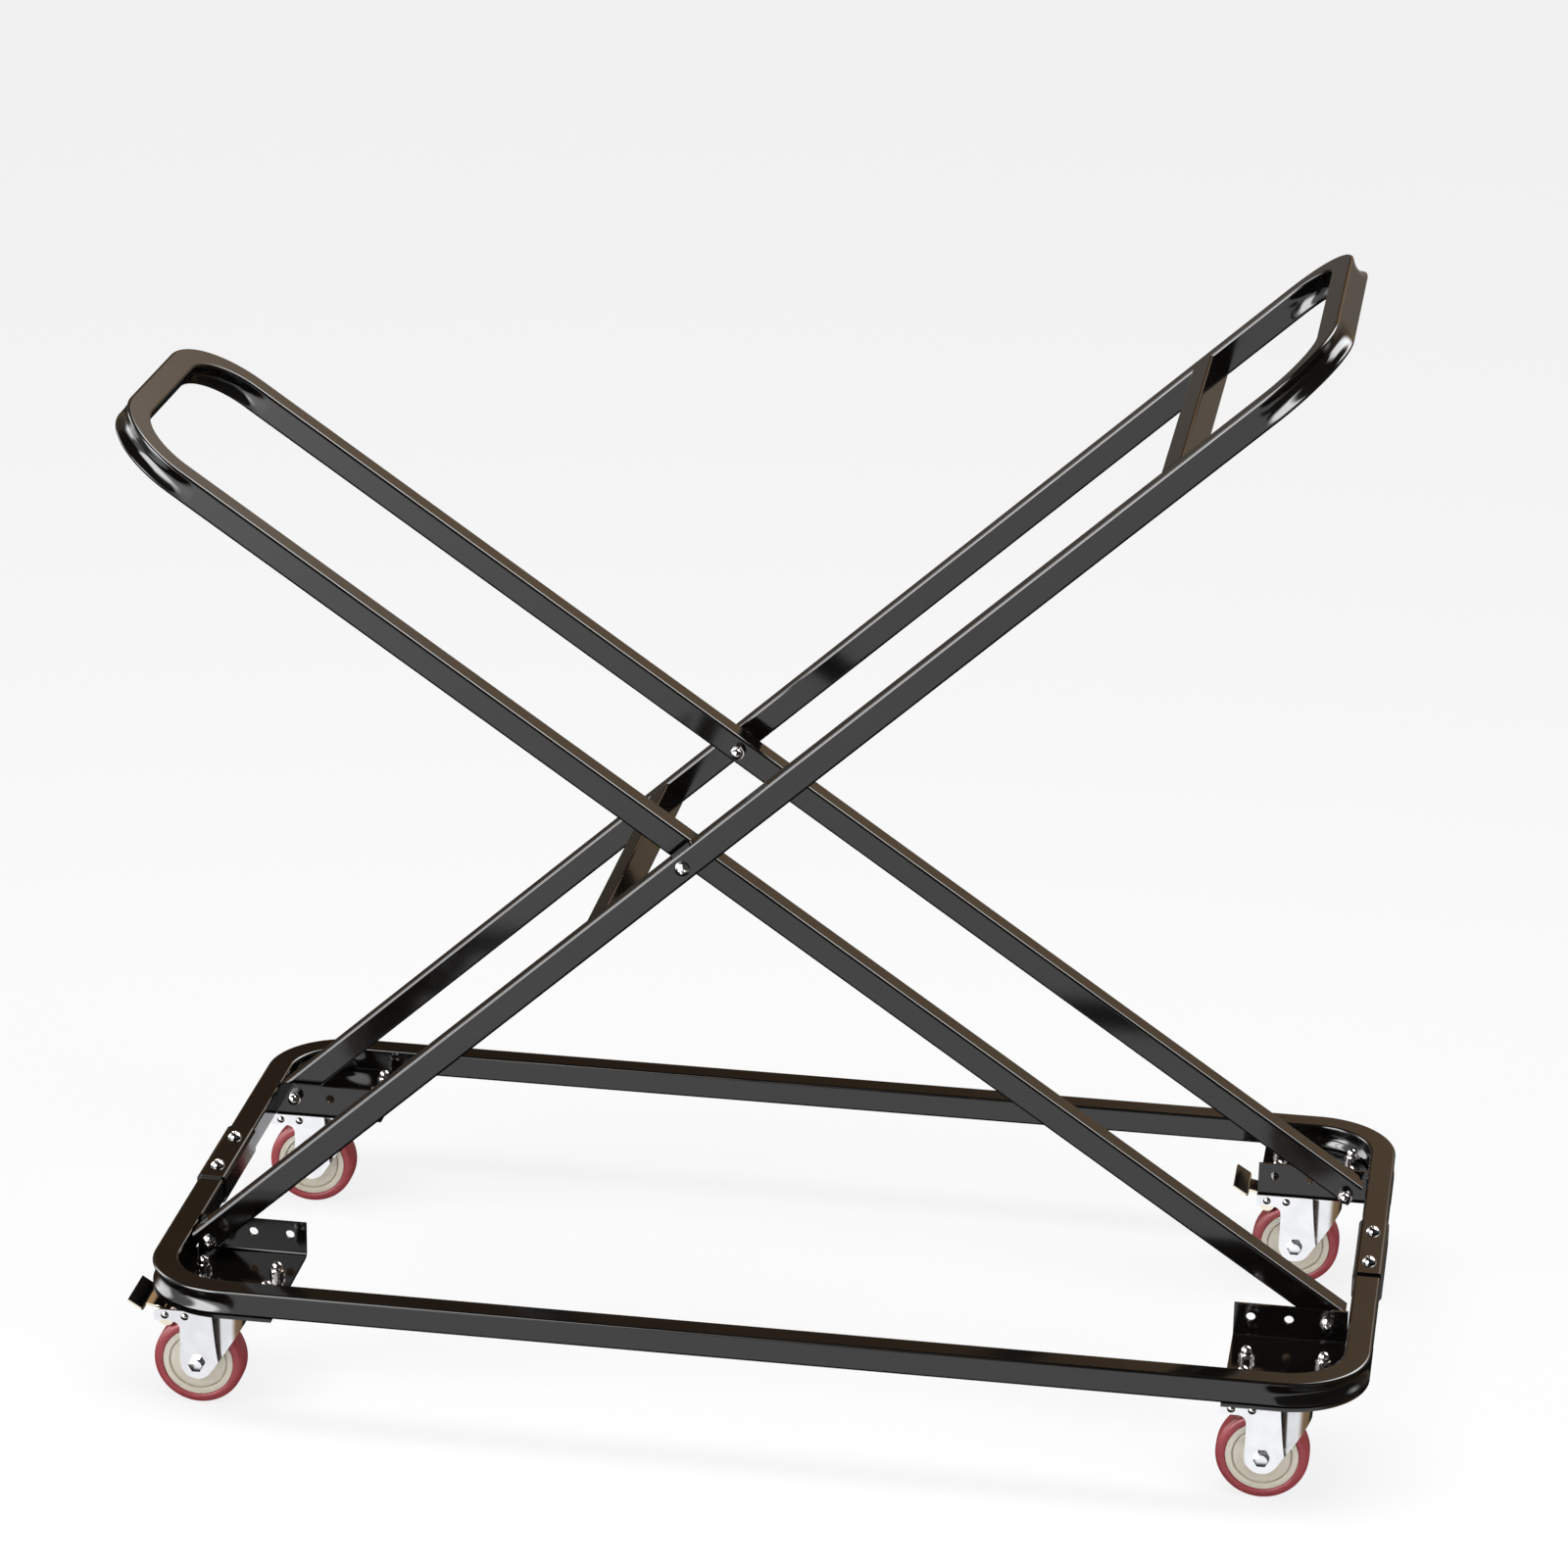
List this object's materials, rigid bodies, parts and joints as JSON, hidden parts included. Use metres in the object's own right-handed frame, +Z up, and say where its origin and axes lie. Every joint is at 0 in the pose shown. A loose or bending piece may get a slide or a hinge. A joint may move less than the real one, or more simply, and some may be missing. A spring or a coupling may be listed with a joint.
{
  "type": "stacking chair trolley",
  "caption": "Wheeled trolley of bent square tube: crossed U-shaped arms cradle a stack of chairs over a rectangular base on braked and plain swivel casters.",
  "frame": {"origin": "on the floor under the middle of the whole outline", "axes": "+Z up, +X along the base from the low handle's end to the high handle's end, +Y to the rear rail"},
  "size_m": [1.22, 0.607, 1.1032],
  "materials": {
    "black_powder_coat": "satin black powder coat with a fine texture",
    "bright_zinc": "bright zinc plating",
    "brake_pedal": "zinc plating, black on the tread of the pad",
    "maroon_tread": "satin polyurethane",
    "cream_hub": "moulded, satin",
    "black_nylon": "matt"
  },
  "bodies": {
    "frame": {"base_front_tube": "black_powder_coat", "base_rear_tube": "black_powder_coat", "splice_sleeve_left": "black_powder_coat", "splice_sleeve_right": "black_powder_coat", "splice_screws": "bright_zinc", "bracket_front_left": "black_powder_coat", "bracket_front_right": "black_powder_coat", "bracket_rear_left": "black_powder_coat", "bracket_rear_right": "black_powder_coat", "outer_arm": "black_powder_coat", "inner_arm": "black_powder_coat", "lower_rung": "black_powder_coat", "upper_rung": "black_powder_coat", "pivot_bolts": "bright_zinc", "pivot_nuts": "bright_zinc", "pivot_spacers": "black_nylon", "foot_bolts": "bright_zinc", "foot_nuts": "bright_zinc", "foot_spacers": "black_nylon", "caster_bolts": "bright_zinc", "caster_nuts": "bright_zinc", "kingpins": "bright_zinc", "swivel_balls": "bright_zinc", "caster_plate_front_left": "bright_zinc", "caster_plate_front_right": "bright_zinc", "caster_plate_rear_left": "bright_zinc", "caster_plate_rear_right": "bright_zinc"},
    "caster_front_left": {"fork_front_left": "bright_zinc", "ear_pins_front_left": "bright_zinc", "axle_bolt_front_left": "bright_zinc", "axle_nut_front_left": "bright_zinc"},
    "wheel_front_left": {"hub_front_left": "cream_hub", "tyre_front_left": "maroon_tread"},
    "brake_front_left": {"brake_pedal_front_left": "brake_pedal"},
    "caster_front_right": {"fork_front_right": "bright_zinc", "ear_pins_front_right": "bright_zinc", "axle_bolt_front_right": "bright_zinc", "axle_nut_front_right": "bright_zinc"},
    "wheel_front_right": {"hub_front_right": "cream_hub", "tyre_front_right": "maroon_tread"},
    "caster_rear_left": {"fork_rear_left": "bright_zinc", "ear_pins_rear_left": "bright_zinc", "axle_bolt_rear_left": "bright_zinc", "axle_nut_rear_left": "bright_zinc"},
    "wheel_rear_left": {"hub_rear_left": "cream_hub", "tyre_rear_left": "maroon_tread"},
    "caster_rear_right": {"fork_rear_right": "bright_zinc", "ear_pins_rear_right": "bright_zinc", "axle_bolt_rear_right": "bright_zinc", "axle_nut_rear_right": "bright_zinc"},
    "wheel_rear_right": {"hub_rear_right": "cream_hub", "tyre_rear_right": "maroon_tread"},
    "brake_rear_right": {"brake_pedal_rear_right": "brake_pedal"}
  },
  "joints": [
    {"name": "swivel_front_left", "type": "hinge", "parent": "frame", "child": "caster_front_left", "pos_m": [-0.48216, -0.231, 0.111], "axis": [0, 0, 1], "continuous": true},
    {"name": "roll_front_left", "type": "hinge", "parent": "caster_front_left", "child": "wheel_front_left", "pos_m": [-0.50716, -0.231, 0.044], "axis": [0, 1, 0], "continuous": true},
    {"name": "brake_front_left", "type": "hinge", "parent": "caster_front_left", "child": "brake_front_left", "pos_m": [-0.53766, -0.231, 0.09275], "axis": [0, -1, 0], "range_deg": [0, 28]},
    {"name": "swivel_front_right", "type": "hinge", "parent": "frame", "child": "caster_front_right", "pos_m": [0.53784, -0.231, 0.111], "axis": [0, 0, 1], "continuous": true},
    {"name": "roll_front_right", "type": "hinge", "parent": "caster_front_right", "child": "wheel_front_right", "pos_m": [0.51284, -0.231, 0.044], "axis": [0, 1, 0], "continuous": true},
    {"name": "swivel_rear_left", "type": "hinge", "parent": "frame", "child": "caster_rear_left", "pos_m": [-0.48216, 0.231, 0.111], "axis": [0, 0, 1], "continuous": true},
    {"name": "roll_rear_left", "type": "hinge", "parent": "caster_rear_left", "child": "wheel_rear_left", "pos_m": [-0.50716, 0.231, 0.044], "axis": [0, 1, 0], "continuous": true},
    {"name": "swivel_rear_right", "type": "hinge", "parent": "frame", "child": "caster_rear_right", "pos_m": [0.53784, 0.231, 0.111], "axis": [0, 0, 1], "continuous": true},
    {"name": "roll_rear_right", "type": "hinge", "parent": "caster_rear_right", "child": "wheel_rear_right", "pos_m": [0.51284, 0.231, 0.044], "axis": [0, 1, 0], "continuous": true},
    {"name": "brake_rear_right", "type": "hinge", "parent": "caster_rear_right", "child": "brake_rear_right", "pos_m": [0.48234, 0.231, 0.09275], "axis": [0, -1, 0], "range_deg": [0, 28]}
  ]
}
